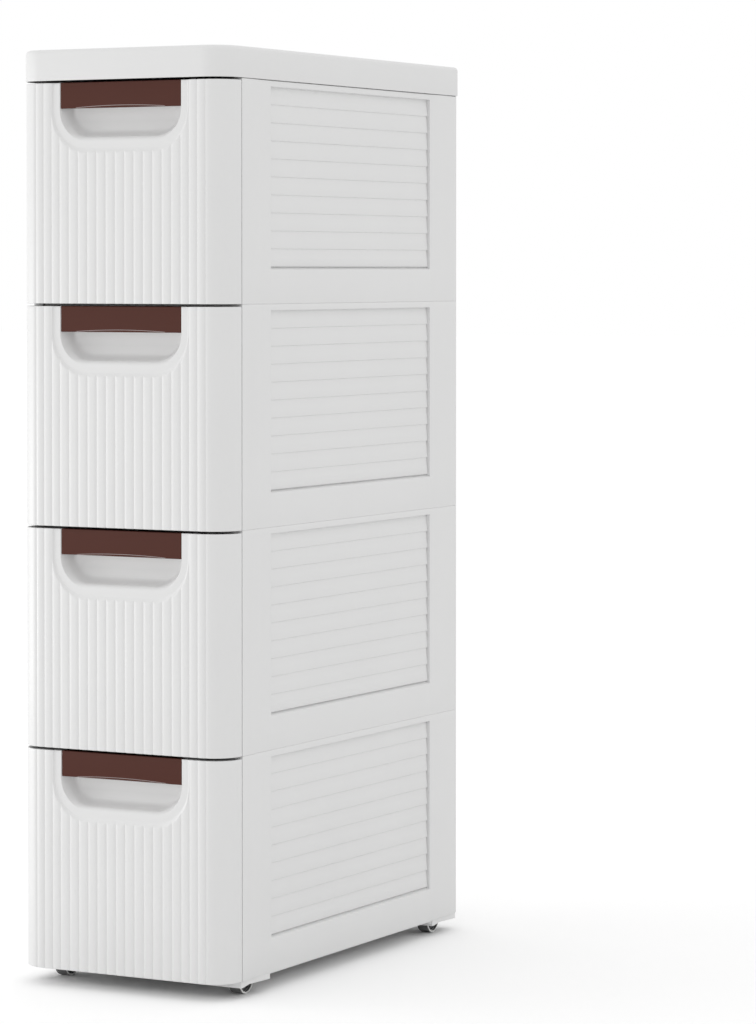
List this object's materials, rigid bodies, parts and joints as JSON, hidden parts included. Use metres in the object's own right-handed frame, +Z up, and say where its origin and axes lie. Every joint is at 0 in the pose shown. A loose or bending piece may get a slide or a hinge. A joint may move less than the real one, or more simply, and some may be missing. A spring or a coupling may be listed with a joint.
{
  "type": "plastic drawer tower",
  "caption": "Slim rolling tower of stacked plastic drawers with fluted fronts, brown grip bars over U-shaped finger scoops, louvred side panels, a plain top cover and small fixed rollers.",
  "frame": {"origin": "on the floor under the middle of the tower, at the rollers' lowest points", "axes": "+Z up, +X to the right as seen from the front, drawers open towards -Y"},
  "size_m": [0.221, 0.449, 0.844],
  "materials": {
    "shell_white": "satin white polypropylene",
    "grip_brown": "satin dark brown",
    "roller_grey": "satin pale grey",
    "housing_dark": "satin dark grey",
    "pin_steel": "drawn wire"
  },
  "bodies": {
    "tower_frame": {"top_cover": "shell_white", "base_tray": "shell_white", "side_panel_left_1": "shell_white", "side_panel_right_1": "shell_white", "side_panel_left_2": "shell_white", "side_panel_right_2": "shell_white", "side_panel_left_3": "shell_white", "side_panel_right_3": "shell_white", "side_panel_left_4": "shell_white", "side_panel_right_4": "shell_white", "back_panel_1": "shell_white", "back_panel_2": "shell_white", "back_panel_3": "shell_white", "back_panel_4": "shell_white", "divider_1": "shell_white", "divider_2": "shell_white", "divider_3": "shell_white", "roller_housing_front_left": "housing_dark", "roller_housing_front_right": "housing_dark", "roller_housing_rear_left": "housing_dark", "roller_housing_rear_right": "housing_dark", "roller_axle_front_left": "pin_steel", "roller_axle_front_right": "pin_steel", "roller_axle_rear_left": "pin_steel", "roller_axle_rear_right": "pin_steel"},
    "drawer_1": {"drawer_box_1": "shell_white", "drawer_front_1": "shell_white", "handle_grip_1": "grip_brown"},
    "drawer_2": {"drawer_box_2": "shell_white", "drawer_front_2": "shell_white", "handle_grip_2": "grip_brown"},
    "drawer_3": {"drawer_box_3": "shell_white", "drawer_front_3": "shell_white", "handle_grip_3": "grip_brown"},
    "drawer_4": {"drawer_box_4": "shell_white", "drawer_front_4": "shell_white", "handle_grip_4": "grip_brown"},
    "wheel_front_left": {"roller_wheel_front_left": "roller_grey"},
    "wheel_front_right": {"roller_wheel_front_right": "roller_grey"},
    "wheel_rear_left": {"roller_wheel_rear_left": "roller_grey"},
    "wheel_rear_right": {"roller_wheel_rear_right": "roller_grey"}
  },
  "joints": [
    {"name": "drawer_1_slide", "type": "slide", "parent": "tower_frame", "child": "drawer_1", "axis": [0, -1, 0], "range_m": [0, 0.32]},
    {"name": "drawer_2_slide", "type": "slide", "parent": "tower_frame", "child": "drawer_2", "axis": [0, -1, 0], "range_m": [0, 0.32]},
    {"name": "drawer_3_slide", "type": "slide", "parent": "tower_frame", "child": "drawer_3", "axis": [0, -1, 0], "range_m": [0, 0.32]},
    {"name": "drawer_4_slide", "type": "slide", "parent": "tower_frame", "child": "drawer_4", "axis": [0, -1, 0], "range_m": [0, 0.32]},
    {"name": "roller_front_left_spin", "type": "hinge", "parent": "tower_frame", "child": "wheel_front_left", "pos_m": [-0.0924, -0.1688, 0.012], "axis": [1, 0, 0], "continuous": true},
    {"name": "roller_front_right_spin", "type": "hinge", "parent": "tower_frame", "child": "wheel_front_right", "pos_m": [0.0924, -0.1688, 0.012], "axis": [1, 0, 0], "continuous": true},
    {"name": "roller_rear_left_spin", "type": "hinge", "parent": "tower_frame", "child": "wheel_rear_left", "pos_m": [-0.0924, 0.19, 0.012], "axis": [1, 0, 0], "continuous": true},
    {"name": "roller_rear_right_spin", "type": "hinge", "parent": "tower_frame", "child": "wheel_rear_right", "pos_m": [0.0924, 0.19, 0.012], "axis": [1, 0, 0], "continuous": true}
  ]
}
